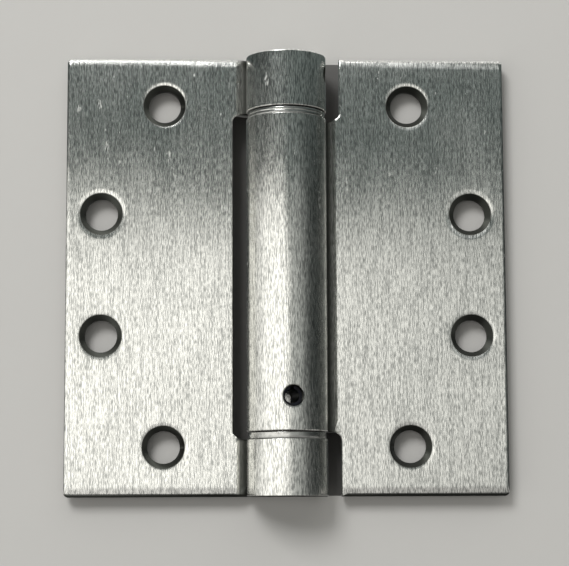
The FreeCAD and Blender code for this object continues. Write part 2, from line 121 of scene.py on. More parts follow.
class HingeSheetSizes(bpy.types.PropertyGroup):
    """How the leaves are cut from sheet, drilled and bent."""

    strip_lead: length("Strip lead", "From the barrel's side to the crease of the slanted strip", 2.6)
    crease_width: length("Crease width", "Sheet on each side of the crease that closes its mitre", 0.6)
    seam_gap: length("Seam gap", "Gap between the rolled end and the strip", 0.25)
    notch_clear: length("Notch clearance", "From the barrel's side to the root of a notch", 3.6)
    notch_corner: length("Notch corner", "Radius at the root of a notch", 2.0)
    leaf_corner: length("Leaf corner", "Radius of the two outer corners", 1.2)
    edge_round: length("Edge rounding", "Radius along the edges of the flat", 0.9)
    roll_width: length("Roll-over width", "Worn strip along the front's upper and lower edge", 2.6)
    roll_depth: length("Roll-over depth", "How far the front falls across that strip", 0.18)
    end_round: length("End rounding", "Radius along the ends of the barrel", 0.4)
    rim_round: length("Rim rounding", "Radius along the edges of the notches and between the knuckles", 0.28)
    sink_radius: length("Sink radius", "Radius of a countersink at the front face", 5.45)
    sink_angle: angle("Sink angle", "Full angle of the countersink", 82.0)
    sink_roll: length("Sink roll-over", "Width of the softened rim around a countersink", 1.3)
    sink_dish: length("Sink dish", "Depth of that rim below the face", 0.07)
    lock_radius: length("Lock hole radius", "Hole for the tension pin in the top knuckle", 2.1)
    lock_drop: length("Lock hole drop", "From the leaf's top to the lock hole", 5.05)
    lock_turn: angle("Lock hole turn", "From the front towards the door leaf", 80.0)
    anchor_turn: angle("Anchor hole turn", "From the front towards the door leaf", 7.0)
    burr_height: length("Burr height", "Raised edge at one side of the anchor hole", 0.12)
    # These three set painted shade on the front of the slanted strip, more towards its lower end.
    strip_shade_top: share("Strip top", "How dull the slanted strip is by its crease, at the upper end", 0.2)
    strip_shade_foot: share("Strip foot", "How dull it is by its crease, at the lower end", 0.8)
    strip_fade: length("Strip fade", "How far behind the crease the strip is fully dull", 2.0)


class HingeWasherSizes(bpy.types.PropertyGroup):
    """Washers between the knuckles."""

    bore: length("Bore", "Radius of the hole", 4.8)
    rim_round: length("Rim rounding", "Radius of the outer rims", 0.06)


class HingeSpringSizes(bpy.types.PropertyGroup):
    """Torsion spring of rectangular wire."""

    wire_width: length("Wire width", "Across the wire, towards the axis", 2.2)
    wire_height: length("Wire height", "Along the axis", 2.6)
    wire_round: length("Wire rounding", "Corner radius of the wire", 0.35)
    bend_radius: length("Bend radius", "Where each end turns in across the axis", 1.6)
    tang_reach: length("Tang reach", "How far each end passes the axis", 3.9)
    turns: IntProperty(name="Turns", description="Whole turns, wound left-handed", default=16, min=1)


class HingeFinishes(bpy.types.PropertyGroup):
    """Colours of the finishes."""

    chrome: colour("Satin chrome", "Brushed faces of the leaves", (0.95, 0.945, 0.905))
    chrome_low: colour("Chrome in the grain", "Lower part of the brush marks", (0.37, 0.375, 0.36))
    # The countersink tone is mostly painted shade: holes, strips and the bottom rim darken to it, and so do
    # the joints at the washers.
    shade_and_joint_tone: colour("Countersink", "Dull face of a drilled or sunk hole", (0.065, 0.068, 0.06))
    bright: colour("Bright steel", "Washers", (0.56, 0.56, 0.54))
    turned: colour("Turned steel", "Hub and pivot", (0.44, 0.44, 0.43))
    # The spring steel is made very dark in part as painted shade inside the anchor pin's hole.
    spring: colour("Spring steel", "Tempered wire", (0.035, 0.035, 0.038))
    bronze: colour("Bush bronze", "Sintered bushes", (0.42, 0.27, 0.12))
    chrome_roughness: share("Chrome roughness", "Gloss of the brushed faces", 0.175)
    chrome_stretch: share("Chrome stretch", "How far the brushing widens reflections across the grain", 0.9)
    grain: share("Grain", "Depth of the brush marks", 0.35)


class HingeStage(bpy.types.PropertyGroup):
    """Floor, light and camera."""

    floor: colour("Floor", "Boards that the hinge lies on, and the backdrop", (0.54, 0.53, 0.51))
    board_half: length("Board half", "Half of the width and height of the floor", 92.0)
    board_gap: length("Board gap", "From the backs of the leaves to the boards", 1.8)
    pocket_clear: length("Pocket clearance", "From a notch's root to the boards beside the barrel", 0.5)
    # The pocket's bottom is painted darker than the floor, as painted shade beside the barrel.
    pocket_painted_shade: share("Pocket shade", "Tone of the pocket's bottom, as a part of the floor's", 0.25)
    dome: colour("Dome", "Surroundings overhead", (0.85, 0.85, 0.83))
    band: colour("Light band", "Bright part of the surroundings, low on the jamb side", (1.5, 1.485, 1.42))
    room: colour("Room", "Dark part of the surroundings", (0.115, 0.138, 0.133))
    ground: colour("Ground", "Surroundings below the horizon in front", (0.45, 0.445, 0.43))
    overhead: FloatProperty(name="Overhead", description="Power of the lamp above", default=11.6,
                            unit="POWER")
    lamp_place: FloatVectorProperty(name="Lamp place", description="Where the lamp hangs",
                                    default=(-0.475, -1.07, 0.72), size=3, unit="LENGTH")
    lamp_size: length("Lamp size", "Side of the square lamp", 520.0)
    camera_place: FloatVectorProperty(name="Camera place", description="Where the camera stands",
                                      default=(-0.0169, -0.4514, -0.0571), size=3, unit="LENGTH")
    camera_turn: FloatVectorProperty(name="Camera turn", description="Turn from a level look along +Y",
                                     default=tuple(map(math.radians, (-6.92, -0.24, 2.04))), size=3,
                                     unit="ROTATION")
    focal_pixels: FloatProperty(name="Focal length", description="In pixels of the photograph",
                                default=1760.0, subtype="PIXEL")


# Shapes.

class BentLine:
    """Middle line of a leaf's sheet, across the axis: flat, then slanted back, then round the axis.

    A place on the sheet is s, the distance along that line from the free edge, and w, the distance from
    the line towards the side that becomes the outside of the barrel. root is the s of a notch's root.
    """

    def __init__(self, sizes):
        face = back_face - sheet_thick
        crease_front = barrel_radius + sizes.strip_lead
        reach = math.hypot(crease_front, face)
        self.tangent = math.atan2(face, crease_front) + math.acos(bore_radius / reach)
        self.sine, self.cosine = math.sin(self.tangent), math.cos(self.tangent)
        self.level = face + sheet_thick / 2
        self.radius = bore_radius + sheet_thick / 2
        self.crease_x = (self.radius - self.level * self.sine) / self.cosine
        self.mitre = (1 - self.sine) / self.cosine
        self.crease_width = sizes.crease_width
        self.crease = leaf_reach - self.crease_x
        self.ring_start = self.crease + (self.radius * self.cosine - self.crease_x) * -self.sine
        self.ring_start += (self.radius * self.sine - self.level) * self.cosine
        tip = self.tangent - math.acos((bore_radius - sizes.seam_gap) / barrel_radius) + 2 * math.pi
        self.end = self.at_angle(tip)
        self.root = leaf_reach - barrel_radius - sizes.notch_clear

    def at_angle(self, turn):
        """s of a direction on the ring, as an angle from the leaf's own side round the back."""
        return self.ring_start + self.radius * (turn - self.tangent)

    def place(self, s, w):
        """x and y: along x on the flat, along the slant behind the crease, then by angle round the axis.

        Next to the crease both sides are drawn along themselves, in proportion to w, until they meet in
        a mitre.
        """
        pull = self.mitre * w
        past = s - self.crease
        flat_x = leaf_reach - s + pull * np.clip(1 + past / self.crease_width, 0, 1)
        along = past + pull * np.clip(1 - past / self.crease_width, 0, 1)
        turn = self.tangent + (s - self.ring_start) / self.radius
        where = [past <= 0, s <= self.ring_start]
        x = np.select(where, [flat_x, self.crease_x - self.sine * along + self.cosine * w],
                      (self.radius + w) * np.cos(turn))
        y = np.select(where, [self.level + w, self.level + self.cosine * along + self.sine * w],
                      (self.radius + w) * np.sin(turn))
        return x, y

    def outward(self, s, middle):
        """Unit normal in x and y towards growing w, at corners s of faces whose middles lie at middle."""
        turn = np.select([middle <= self.crease, middle <= self.ring_start], [math.pi / 2, self.tangent],
                         self.tangent + (s - self.ring_start) / self.radius)
        return np.cos(turn), np.sin(turn)

    def columns(self, step=4 * MM, crease_lead=2 * MM, slant_steps=8, ring_steps=89):
        """Values of s for the sheet's mesh: wide apart on the flat, close together round the ring."""
        last = self.crease - crease_lead
        flat = np.append(np.arange(0.0, last, step), last)
        bend = self.crease + self.crease_width * np.array([-1.0, 0.0, 1.0])
        slant = np.linspace(self.crease + self.crease_width, self.ring_start, slant_steps + 1)[1:]
        ring = np.linspace(self.ring_start, self.end, ring_steps + 1)[1:]
        return np.concatenate([flat, bend, slant, ring])


def side_points(first, last, columns, rows, clear=0.2 * MM):
    """Points where a side along s or along z crosses a column or a row, clear of the side's ends."""
    axis = int(abs(last[1] - first[1]) > abs(last[0] - first[0]))
    lines = (columns, rows)[axis]
    low, high = sorted((first[axis], last[axis]))
    crossed = np.sort(lines[(lines > low + clear) & (lines < high - clear)])
    side = np.repeat(first[None, :], len(crossed), axis=0)
    side[:, axis] = crossed if first[axis] < last[axis] else crossed[::-1]
    return side


def rounded_loop(corners, columns, rows, steps=8):
    """Closed outline on the sheet through corners of s, z and radius, anticlockwise.

    Each corner is a quarter arc about the point one radius in from both of its sides, and each side,
    which runs along s or along z, has a point where it crosses a column or a row.
    """
    corners = np.array(corners)
    points, radii = corners[:, :2], corners[:, 2]
    ahead = np.roll(points, -1, axis=0) - points
    ahead /= np.linalg.norm(ahead, axis=1, keepdims=True)
    behind = np.roll(ahead, 1, axis=0)
    starts = points - behind * radii[:, None]
    ends = points + ahead * radii[:, None]
    quarter = np.linspace(0, math.pi / 2, steps + 1)[:, None]
    parts = []
    for number, radius in enumerate(radii):
        centre = starts[number] + ahead[number] * radius
        swing = behind[number] * np.sin(quarter) - ahead[number] * np.cos(quarter)
        parts.append(centre + radius * swing if radius else points[number:number + 1])
        parts.append(side_points(ends[number], starts[(number + 1) % len(points)], columns, rows))
    return np.concatenate(parts)


def edge_rings(loop, radius, steps=4):
    """Rounded edge profile along an outline: rings of s, z and w from one face of the sheet to the other.

    The profile is two quarter arcs of inset and depth, with a radius for each point of the outline. The
    inset moves that point along the mitre of its sides.
    """
    quarter = np.linspace(0, math.pi / 2, steps + 1)[:, None]
    inset = radius * (1 - np.sin(quarter))
    depth = radius * (1 - np.cos(quarter)) - sheet_thick / 2
    inset = np.concatenate([inset, inset[::-1]])
    depth = np.concatenate([depth, -depth[::-1]])
    side = np.roll(loop, -1, axis=0) - loop
    side /= np.linalg.norm(side, axis=1, keepdims=True)
    inward = np.stack([-side[:, 1], side[:, 0]], axis=1)
    before = np.roll(inward, 1, axis=0)
    mitre = (inward + before) / (1 + np.sum(inward * before, axis=1, keepdims=True))
    s = loop[:, 0] + inset * mitre[:, 0]
    z = loop[:, 1] + inset * mitre[:, 1]
    return np.stack([s, z, depth], axis=-1)


def hole_rings(s, z, profile, line=None, count=64, lift=None):
    """Hole profile of radius and w carried round a centre on the sheet, as rings of s, z and w.

    On the rolled part the hole keeps its width at every depth, so its reach in s goes down as the radius
    goes up. A lift adds to w all round, by the angle in the hole.
    """
    radius, depth = np.array(profile).T[:, :, None]
    turn = np.linspace(0, 2 * math.pi, count, endpoint=False)[None, :]
    depth = np.broadcast_to(depth, (len(profile), count)).copy()
    if lift is not None:
        depth += lift(turn)
    squeeze = line.radius / (line.radius + depth) if line else 1.0
    return np.stack([s + radius * np.cos(turn) * squeeze, z + radius * np.sin(turn), depth], axis=-1)


def screw_profile(sizes, screw_radius):
    """Radius and w down a countersunk hole: soft rim, cone, straight hole and a small bevel at the back."""
    front, back = -sheet_thick / 2, sheet_thick / 2
    foot = front + (sizes.sink_radius - screw_radius) / math.tan(sizes.sink_angle / 2)
    across = np.array([1.0, 0.55, 0.22, 0.0])
    rim = np.stack([sizes.sink_radius + sizes.sink_roll * across,
                    front + sizes.sink_dish * (1 - across) ** 2], axis=1)
    rest = [
        (screw_radius + BEVEL / 3, foot - BEVEL / 3), (screw_radius, foot + BEVEL / 3),
        (screw_radius, back - BEVEL), (screw_radius + BEVEL / 2, back - BEVEL / 4),
        (screw_radius + BEVEL, back),
    ]
    return np.concatenate([rim, rest])


def drilled_profile(radius):
    """Radius and w of a hole drilled through the rolled sheet, with a small bevel at both faces."""
    inside, outside = -sheet_thick / 2, sheet_thick / 2
    return [(radius + BEVEL, inside), (radius, inside + BEVEL), (radius, outside - BEVEL),
            (radius + BEVEL / 3, outside - BEVEL / 3), (radius + 2 * BEVEL, outside)]


def enclosed(points, loops):
    """True for points of s and z with an odd number of outline crossings on one side."""
    start = np.concatenate(loops)
    end = np.concatenate([np.roll(loop, -1, axis=0) for loop in loops])
    s, z = points[:, :1], points[:, 1:2]
    spans = (start[:, 1] > z) != (end[:, 1] > z)
    rise = np.where(end[:, 1] == start[:, 1], 1.0, end[:, 1] - start[:, 1])
    crossing = start[:, 0] + (z - start[:, 1]) / rise * (end[:, 0] - start[:, 0])
    return np.sum(spans & (s < crossing), axis=1) % 2 == 1


def lattice_inside(columns, rows, loops, margin=0.3 * MM):
    """Crossings of columns and rows that lie inside the outlines and at least a margin from their points."""
    points = np.stack(np.meshgrid(columns, rows), axis=-1).reshape(-1, 2)
    points = points[enclosed(points, loops)]
    border = np.concatenate(loops)
    nearest = np.min(np.linalg.norm(points[:, None] - border[None, :], axis=2), axis=1)
    return points[nearest > margin]


def fill_loops(loops, inner):
    """Triangles between outlines and inner points, numbered in that order; those in holes are left out."""
    points = np.concatenate(loops + [inner])
    edges, first = [], 0
    for loop in loops:
        ids = first + np.arange(len(loop))
        edges.append(np.stack([ids, np.roll(ids, -1)], axis=1))
        first += len(loop)
    edges = np.concatenate(edges).tolist()
    whole_hull, nearness = 0, 1e-6
    made, _, faces, *_ = delaunay_2d_cdt((points / MM).tolist(), edges, [], whole_hull, nearness)
    if len(made) != len(points):
        raise RuntimeError("outlines on the sheet cross or touch")
    faces = np.array(faces)
    return faces[enclosed(points[faces].mean(axis=1), loops)]


def grid_quads(rings, count, first=0, closed=False):
    """Quads between neighbouring rings of count points; a closed grid joins the last ring to the first."""
    ring = np.arange(rings if closed else rings - 1)[:, None]
    place = np.arange(count)[None, :]
    above, beside = (ring + 1) % rings, (place + 1) % count
    corners = [(ring, place), (ring, beside), (above, beside), (above, place)]
    quads = np.stack([level * count + spot for level, spot in corners], axis=-1)
    return first + quads.reshape(-1, 4)


def new_object(name, data):
    """Object at the origin, linked to the scene."""
    item = bpy.data.objects.new(name, data)
    bpy.context.scene.collection.objects.link(item)
    return item


def new_piece(name, points, faces, sharp_angle=math.radians(32)):
    """Mesh object at the origin, with its faces turned outwards and sharp edges beyond an angle."""
    mesh = bpy.data.meshes.new(name)
    mesh.from_pydata(points.tolist(), [], faces)
    shell = bmesh.new()
    shell.from_mesh(mesh)
    bmesh.ops.recalc_face_normals(shell, faces=shell.faces)
    shell.to_mesh(mesh)
    shell.free()
    mesh.shade_smooth()
    mesh.set_sharp_from_angle(angle=sharp_angle)
    return new_object(name, mesh)


def bent_sheet(name, line, side, outline, holes, sizes):
    """Leaf from its flat blank: outline and holes on the sheet, both faces filled, then bent.

    side is -1 for a leaf on -X. The two faces get the normals of the bent line itself, and a point
    attribute gives each point's painted shade, which also dulls it.
    """
    columns, rows = line.columns(), sheet_rows()
    rings = [edge_rings(outline, edge_radii(line, outline, sizes))] + holes
    firsts = np.cumsum([0] + [ring.shape[0] * ring.shape[1] for ring in rings])
    places = [ring.reshape(-1, 3) for ring in rings]
    walls = np.concatenate([grid_quads(*ring.shape[:2], first) for ring, first in zip(rings, firsts)])
    total, fills = firsts[-1], []
    for end, depth in ((0, -sheet_thick / 2), (-1, sheet_thick / 2)):
        loops = [ring[end, :, :2] for ring in rings]
        inner = lattice_inside(columns, rows, loops)
        ids = [first + (ring.shape[0] - 1) * ring.shape[1] * -end + np.arange(ring.shape[1])
               for ring, first in zip(rings, firsts)]
        ids = np.concatenate(ids + [total + np.arange(len(inner))])
        fills.append(ids[fill_loops(loops, inner)])
        places.append(np.column_stack([inner, np.full(len(inner), depth)]))
        total += len(inner)
    s, z, w = np.concatenate(places).T
    fall, slope = roll_over(line, s, z, w, sizes)
    x, y = line.place(s, w + fall)
    piece = new_piece(name, np.stack([side * x, y, z], axis=1),
                      walls.tolist() + fills[0].tolist() + fills[1].tolist())
    set_sheet_normals(piece.data, line, side, s, slope, len(walls), len(fills[0]))
    # Painted shade, with dullness, on the strips, the rims and the hole walls.
    marks = sheet_marks(line, s, z, w, slice(firsts[1], firsts[-1]), sizes)
    piece.data.attributes.new("shade_and_dull", "FLOAT", "POINT").data.foreach_set("value", marks)
    return piece


def sheet_marks(line, s, z, w, walled, sizes):
    """Painted shade at each point of a sheet, from 0 to 1; where there is shade the surface is also dull.

    The front of the slanted strip gets painted shade, in part by its crease, more towards its lower end,
    and in full behind it. The rims at the washers are darkened in full, the bottom rim gets painted shade in
    full, and so does the wall of each hole.
    """
    # Painted shade on the strip's front: more towards the bottom, and full beyond the fade behind the
    # crease.
    shade = np.interp(z, [-leaf_half, leaf_half], [sizes.strip_shade_foot, sizes.strip_shade_top])
    shade += (1 - shade) * np.clip((s - line.crease) / sizes.strip_fade, 0, 1)
    marks = np.where((s > line.crease) & (s < line.ring_start) & (w < 0), shade, 0.0)
    under = sheet_thick / 2 - np.abs(w)
    # Rims at the washers are darkened, and the bottom rim gets painted shade.
    nearest = np.min(np.abs(z[:, None] - darkened_rims), axis=1)
    barrel_or_foot = (s > line.crease) | (z < -leaf_half + sizes.edge_round)
    marks[barrel_or_foot & (nearest < sizes.edge_round) & (under > TOUCH)] = 1
    # Each hole's wall below the faces gets painted shade and is dull.
    marks[walled] = under[walled] > DULL_DEPTH
    return marks


def edge_radii(line, outline, sizes):
    """Edge radius at each point of an outline: wide round the flat, less at the barrel and in a notch."""
    radius = np.interp(outline[:, 0], [line.crease, line.ring_start], [sizes.edge_round, sizes.end_round])
    middle = (outline + np.roll(outline, -1, axis=0)) / 2
    notched = (middle[:, 0] > line.root - TOUCH) & (np.abs(middle[:, 1]) < leaf_half - TOUCH)
    return np.where(notched | np.roll(notched, 1), sizes.rim_round, radius)


def roll_over(line, s, z, w, sizes):
    """Fall of the front face and its slope along z, where brushing has worn it towards the leaf's ends.

    The fall grows with the square of the way into the worn strip. It fades through the sheet and along
    the slant.
    """
    way = np.clip(1 - (leaf_half - np.abs(z)) / sizes.roll_width, 0, 1)
    part = np.clip(-w / (sheet_thick / 2), 0, 1) * np.interp(s, [line.crease, line.ring_start], [1, 0])
    slope = 2 * sizes.roll_depth / sizes.roll_width * way * np.sign(z)
    return part * sizes.roll_depth * way ** 2, part * slope


def sheet_rows(step=3 * MM):
    """Values of z for the sheet's mesh: evenly apart, and closer together at both ends."""
    ends = leaf_half - np.array([2.8, 2.2, 1.7, 1.3]) * MM
    last = leaf_half - 1.5 * step
    return np.concatenate([-ends[::-1], np.arange(-last, last, step), ends])


def set_sheet_normals(mesh, line, side, s, slope, wall_count, front_count):
    """Corner normals of both faces of a bent sheet from its line; a zero normal leaves a wall as it is.

    The slope leans those of the front face up or down.
    """
    corner = np.empty(len(mesh.loops), dtype=int)
    mesh.loops.foreach_get("vertex_index", corner)
    sizes = np.empty(len(mesh.polygons), dtype=int)
    mesh.polygons.foreach_get("loop_total", sizes)
    face = np.repeat(np.arange(len(sizes)), sizes)
    middle = np.bincount(face, weights=s[corner]) / sizes
    across, back = line.outward(s[corner], middle[face])
    sign = np.select([face < wall_count, face < wall_count + front_count], [0.0, -1.0], 1.0)
    lean = np.where(sign < 0, slope[corner], 0.0)
    normals = np.stack([side * across * sign, back * sign, lean], axis=1)
    normals /= np.maximum(np.linalg.norm(normals, axis=1, keepdims=True), 1.0)
    mesh.normals_split_custom_set(normals.tolist())


def leaf_outline(line, lower):
    """Blank of a leaf from the corners of its lower half, which its upper half mirrors."""
    corners = lower + [(s, -z, radius) for s, z, radius in reversed(lower)]
    return rounded_loop(corners, line.columns(), sheet_rows())


def jamb_outline(line, sizes):
    """Blank of the jamb leaf: full height, with one notch between the two knuckles."""
    return leaf_outline(line, [
        (0, -leaf_half, sizes.leaf_corner), (line.end, -leaf_half, 0),
        (line.end, -knuckle_end, 0), (line.root, -knuckle_end, sizes.notch_corner),
    ])


def door_outline(line, sizes):
    """Blank of the door leaf: full height by the free edge, with a tongue for the middle barrel."""
    return leaf_outline(line, [
        (0, -leaf_half, sizes.leaf_corner), (line.root, -leaf_half, 0),
        (line.root, -barrel_half, sizes.notch_corner), (line.end, -barrel_half, 0),
    ])


def screw_rings(leaf, sizes):
    """Rings of the countersunk holes of one leaf, at the record's bolt patterns."""
    rings = []
    for name, mount in mounts.items():
        if mount["kind"] == "bolt_pattern" and name.startswith(leaf):
            profile = screw_profile(sizes, mount["dims"]["hole_r_mm"] * MM)
            half = mount["dims"]["spacing_y_mm"] * MM / 2
            s = leaf_reach - abs(mount["pos_m"][0])
            rings += [hole_rings(s, z, profile) for z in (-half, half)]
    return rings


def pin_place(node):
    """Height and radius of a pin that lies across the axis, from its solid's box."""
    low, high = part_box(node)
    return (low.z + high.z) / 2, (high.z - low.z) / 2


def jamb_leaf_piece(sizes):
    """Jamb leaf: four screw holes, the lock hole in the top knuckle and the pin's hole in the bottom one."""
    line = BentLine(sizes)
    lock_side = math.pi - (sizes.lock_turn - math.pi / 2)
    pin_height, pin_radius = pin_place("pivot_lock_pin")
    holes = screw_rings("jamb", sizes) + [
        hole_rings(line.at_angle(lock_side), leaf_half - sizes.lock_drop,
                   drilled_profile(sizes.lock_radius), line),
        hole_rings(line.at_angle(math.pi / 2), pin_height, drilled_profile(pin_radius), line),
    ]
    return bent_sheet("jamb_leaf_sheet", line, -1, jamb_outline(line, sizes), holes, sizes)


def door_leaf_piece(sizes, burr_power=6):
    """Door leaf: four screw holes and the anchor pin's hole, which has a burr on the door's side.

    The burr's height goes with a power of the cosine of the angle in the hole.
    """
    line = BentLine(sizes)
    height, radius = pin_place("anchor_pin")
    turn = sizes.anchor_turn + 1.5 * math.pi
    share_of_lift = np.array([0.0, 0.0, 0.6, 1.0, 0.0])[:, None]

    def burr(around):
        return share_of_lift * sizes.burr_height * np.clip(np.cos(around), 0, 1) ** burr_power

    holes = screw_rings("door", sizes) + [
        hole_rings(line.at_angle(turn), height, drilled_profile(radius), line, lift=burr),
    ]
    return bent_sheet("door_leaf_sheet", line, 1, door_outline(line, sizes), holes, sizes)


def washer_piece(node, sizes, count=128, steps=6, rim_limit=0.45):
    """Washer: a closed profile with two rounded outer rims, carried round the axis."""
    low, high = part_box(node)
    rim = min(sizes.rim_round, rim_limit * (high.z - low.z))
    quarter = np.linspace(0, math.pi / 2, steps + 1)
    lower = np.stack([high.x - rim + rim * np.sin(quarter), low.z + rim - rim * np.cos(quarter)], axis=1)
    upper = np.stack([high.x - rim + rim * np.cos(quarter), high.z - rim + rim * np.sin(quarter)], axis=1)
    profile = np.concatenate([[(sizes.bore, low.z)], lower, upper, [(sizes.bore, high.z)]])
    radius, height = profile.T[:, :, None]
    turn = np.linspace(0, 2 * math.pi, count, endpoint=False)[None, :]
    height = np.broadcast_to(height, (len(profile), count))
    points = np.stack([radius * np.cos(turn), radius * np.sin(turn), height], axis=-1)
    faces = grid_quads(len(profile), count, closed=True)
    return new_piece(f"{node}_ring", points.reshape(-1, 3), faces.tolist())


def spring_path(sizes, per_turn=48, bend_steps=7, bend_turn=0.5):
    """Middle of the wire: straight across the axis, round a bend, up a left-handed helix and back across."""
    low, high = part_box("torsion_spring")
    coil, bend = high.x - sizes.wire_width / 2, sizes.bend_radius
    bottom, top = low.z + sizes.wire_height / 2, high.z - sizes.wire_height / 2
    quarter = np.linspace(0, math.pi / 2, bend_steps + 1)
    full = 2 * math.pi * sizes.turns
    turn = np.linspace(bend_turn, full - bend_turn, per_turn * sizes.turns)
    start_x = np.concatenate([[-sizes.tang_reach, 0.0], coil - bend + bend * np.sin(quarter)])
    start_y = np.concatenate([[0.0, 0.0], bend * np.cos(quarter) - bend])
    x = np.concatenate([start_x, coil * np.cos(turn), start_x[::-1]])
    y = np.concatenate([start_y, -coil * np.sin(turn), -start_y[::-1]])
    z = np.concatenate([np.full(len(start_x), bottom), bottom + (top - bottom) * turn / full,
                        np.full(len(start_x), top)])
    return np.stack([x, y, z], axis=1)


def spring_piece(sizes, steps=3):
    """Torsion spring: a rounded rectangle carried along the wire's path, upright, with both ends closed."""
    path = spring_path(sizes)
    ahead = np.gradient(path, axis=0)
    side = np.stack([-ahead[:, 1], ahead[:, 0]], axis=1)
    side /= np.linalg.norm(side, axis=1, keepdims=True)
    quarter = np.linspace(0, math.pi / 2, steps + 1)
    turn = (quarter[None, :] + math.pi / 2 * np.arange(4)[:, None]).ravel()
    across = np.repeat([1, -1, -1, 1], steps + 1) * (sizes.wire_width / 2 - sizes.wire_round)
    upward = np.repeat([1, 1, -1, -1], steps + 1) * (sizes.wire_height / 2 - sizes.wire_round)
    across = across + sizes.wire_round * np.cos(turn)
    upward = upward + sizes.wire_round * np.sin(turn)
    x = path[:, None, 0] + side[:, None, 0] * across
    y = path[:, None, 1] + side[:, None, 1] * across
    z = path[:, None, 2] + np.broadcast_to(upward, x.shape)
    points = np.stack([x, y, z], axis=-1)
    rings, count = x.shape
    ends = [list(range(count)), list(range((rings - 1) * count, rings * count))]
    return new_piece("torsion_spring_wire", points.reshape(-1, 3), grid_quads(rings, count).tolist() + ends)


# Finishes.

class NodeTree:
    """Short calls for the nodes of one material or world."""

    def __init__(self, owner, output):
        owner.use_nodes = True
        self.owner = owner
        self.tree = owner.node_tree
        self.tree.nodes.clear()
        self.surface = self.add(output).inputs["Surface"]

    def add(self, kind, inputs=None, **settings):
        """New node; an input is either a socket to link or a value to set."""
        node = self.tree.nodes.new(kind)
        for name, value in settings.items():
            setattr(node, name, value)
        for name, value in (inputs or {}).items():
            self.give(node.inputs[name], value)
        return node

    def give(self, socket, value):
        if isinstance(value, bpy.types.NodeSocket):
            self.tree.links.new(value, socket)
        else:
            socket.default_value = value

    def math(self, operation, first, second=0.0):
        return self.add("ShaderNodeMath", {0: first, 1: second}, operation=operation).outputs[0]

    def product(self, first, *others):
        for value in others:
            first = self.math("MULTIPLY", first, value)
        return first

    def weigh(self, first, part, second):
        """First and second, mixed by the part that first has."""
        return self.math("ADD", self.math("MULTIPLY", first, part), self.math("MULTIPLY", second, 1 - part))

    def blend(self, amount, first, second):
        """Colour between two colours."""
        node = self.add("ShaderNodeMix", {"Factor": amount}, data_type="RGBA")
        sockets = [socket for socket in node.inputs if socket.type == "RGBA"]
        for socket, value in zip(sockets, (first, second)):
            self.give(socket, value if isinstance(value, bpy.types.NodeSocket) else (*value, 1.0))
        return next(socket for socket in node.outputs if socket.type == "RGBA")

    def ramp(self, value, low, high, start=0.0, end=1.0):
        """Value carried from low..high to start..end, with soft ends."""
        inputs = {"Value": value, "From Min": low, "From Max": high, "To Min": start, "To Max": end}
        return self.add("ShaderNodeMapRange", inputs, interpolation_type="SMOOTHSTEP").outputs[0]

    def place(self):
        return self.add("ShaderNodeTexCoord").outputs["Object"]

    def noise(self, across, along, detail=2.0, roughness=0.5):
        """Noise on Object coordinates with so many cells per metre across the axis and along it."""
        spread = self.add("ShaderNodeMapping", {"Vector": self.place(), "Scale": (across, across, along)})
        inputs = {"Vector": spread.outputs[0], "Scale": 1.0, "Detail": detail, "Roughness": roughness}
        return self.add("ShaderNodeTexNoise", inputs).outputs[0]

    def bump(self, height, strength, depth):
        inputs = {"Height": height, "Strength": strength, "Distance": depth}
        return self.add("ShaderNodeBump", inputs).outputs[0]

    def tangent(self):
        """Direction round the axis."""
        return self.add("ShaderNodeTangent", direction_type="RADIAL", axis="Z").outputs[0]

    def metal(self, inputs):
        """Metallic surface, linked to the output; returns the material."""
        shader = self.add("ShaderNodeBsdfPrincipled", {"Metallic": 1.0, **inputs})
        self.give(self.surface, shader.outputs[0])
        return self.owner


def material_nodes(name):
    return NodeTree(bpy.data.materials.new(name), "ShaderNodeOutputMaterial")


def toned(tone, part):
    """Colour made darker, or brighter with a part above 1."""
    return tuple(part * channel for channel in tone)


def satin_chrome(colours):
    """Brushed plate: upright marks in colour, gloss and height, worn patches, scuffs, and painted shade that
    also dulls.
    """
    nodes = material_nodes("satin_chrome")
    fine = nodes.noise(7500.0, 650.0, detail=1.0)
    coarse = nodes.noise(4200.0, 170.0)
    patch = nodes.noise(70.0, 45.0, detail=3.0)
    marks = nodes.weigh(fine, 0.65, coarse)
    face = nodes.blend(nodes.ramp(marks, 0.42, 0.57), colours.chrome_low, colours.chrome)
    # The sheet's attribute is painted shade, and it also dulls the surface.
    shade_and_dull = nodes.add("ShaderNodeAttribute", attribute_name="shade_and_dull").outputs["Fac"]
    polished, worn = colours.chrome_roughness - 0.03, colours.chrome_roughness + 0.04
    gloss = nodes.ramp(nodes.weigh(patch, 0.6, fine), 0.3, 0.7, polished, worn)
    scuffs = nodes.ramp(nodes.noise(420.0, 150.0, detail=4.0, roughness=0.65), 0.64, 0.72, 0.0, 0.22)
    scuffs = nodes.math("MULTIPLY", scuffs, nodes.ramp(fine, 0.42, 0.58))
    dull = nodes.math("MULTIPLY", shade_and_dull, 0.5)
    return nodes.metal({
        # The brushed face is darkened towards the countersink tone by the attribute: painted shade.
        "Base Color": nodes.blend(shade_and_dull, face, colours.shade_and_joint_tone),
        "Roughness": nodes.math("MAXIMUM", nodes.math("ADD", gloss, scuffs), dull),
        "Anisotropic": colours.chrome_stretch,
        "Tangent": nodes.tangent(),
        "Normal": nodes.bump(marks, colours.grain, 0.04 * MM),
    })


def bright_steel(colours):
    """Washers with fine marks round the rim, which spread reflections along the axis, and dull spots."""
    nodes = material_nodes("bright_steel")
    marks = nodes.noise(300.0, 5200.0)
    spots = nodes.noise(900.0, 900.0, detail=3.0)
    dull = toned(colours.bright, 0.72)
    return nodes.metal({
        "Base Color": nodes.blend(nodes.ramp(spots, 0.42, 0.72), colours.bright, dull),
        "Roughness": nodes.ramp(spots, 0.35, 0.7, 0.15, 0.24),
        "Anisotropic": 0.8,
        "Tangent": nodes.tangent(),
        "Normal": nodes.bump(marks, 0.25, 0.02 * MM),
    })


